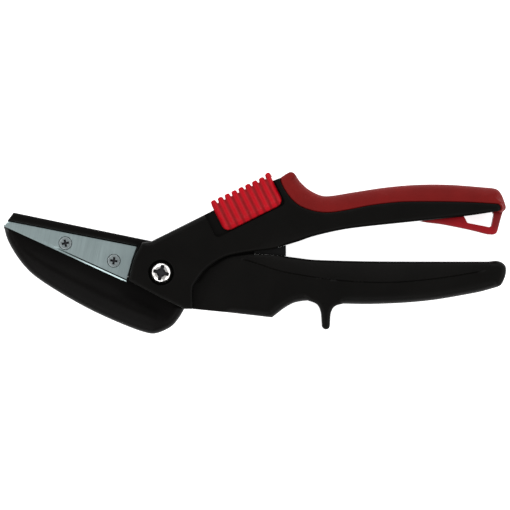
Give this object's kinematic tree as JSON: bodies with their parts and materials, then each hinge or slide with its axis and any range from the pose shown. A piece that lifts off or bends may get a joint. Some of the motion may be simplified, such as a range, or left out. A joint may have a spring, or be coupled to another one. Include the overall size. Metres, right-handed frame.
{
  "type": "pruning shears",
  "caption": "Bypass pruning shears with a screwed straight steel blade, a broad lower jaw, a ribbed thumb slide lock, a soft-backed upper handle and a hanging eye.",
  "frame": {"origin": "on the pivot axis, at the plane of the rear faces that the shears lie on", "axes": "+X from the pivot towards the ends of the handles, +Y towards the upper handle, +Z out of the front face, along the pivot axis"},
  "size_m": [0.252, 0.0812, 0.022],
  "materials": {
    "black_plastic": "satin moulded plastic",
    "black_coated": "black coated casting",
    "bright_red": "hard plastic, low gloss",
    "soft_red": "soft-touch elastomer",
    "bumper_rubber": "matte",
    "blade_steel": "ground, fine lines across the blade",
    "fastener_steel": "bright zinc",
    "inner_steel": "plain"
  },
  "bodies": {
    "body": {"body_front_shell": "black_plastic", "body_rear_shell": "black_plastic", "lower_jaw": "black_coated", "counter_blade": "blade_steel", "pivot_bolt": "fastener_steel", "pivot_nut": "fastener_steel", "pivot_sleeve": "inner_steel", "thrust_washer_rear": "inner_steel", "thrust_washer_front": "inner_steel", "return_spring": "inner_steel", "shell_screw_1": "fastener_steel", "shell_screw_2": "fastener_steel", "shell_screw_3": "fastener_steel", "shell_screw_4": "fastener_steel", "stop_bumper": "bumper_rubber", "upper_grip": "soft_red", "hang_loop": "bright_red"},
    "lever": {"lever_core": "black_coated", "blade_plate": "blade_steel", "blade_screw_1": "fastener_steel", "blade_screw_2": "fastener_steel", "handle_front_shell": "black_plastic", "handle_rear_shell": "black_plastic", "handle_screw_1": "fastener_steel", "handle_screw_2": "fastener_steel", "handle_screw_3": "fastener_steel"},
    "lock": {"lock_slider": "bright_red", "lock_bar": "inner_steel", "lock_pin": "inner_steel"}
  },
  "joints": [
    {"name": "lever_pivot", "type": "hinge", "parent": "body", "child": "lever", "pos_m": [0, 0, 0.011], "axis": [0, 0, -1], "range_deg": [0, 20], "deforming": ["return_spring"]},
    {"name": "lock_slide", "type": "slide", "parent": "body", "child": "lock", "axis": [-0.8949, -0.4462, 0], "range_m": [0, 0.005]}
  ]
}
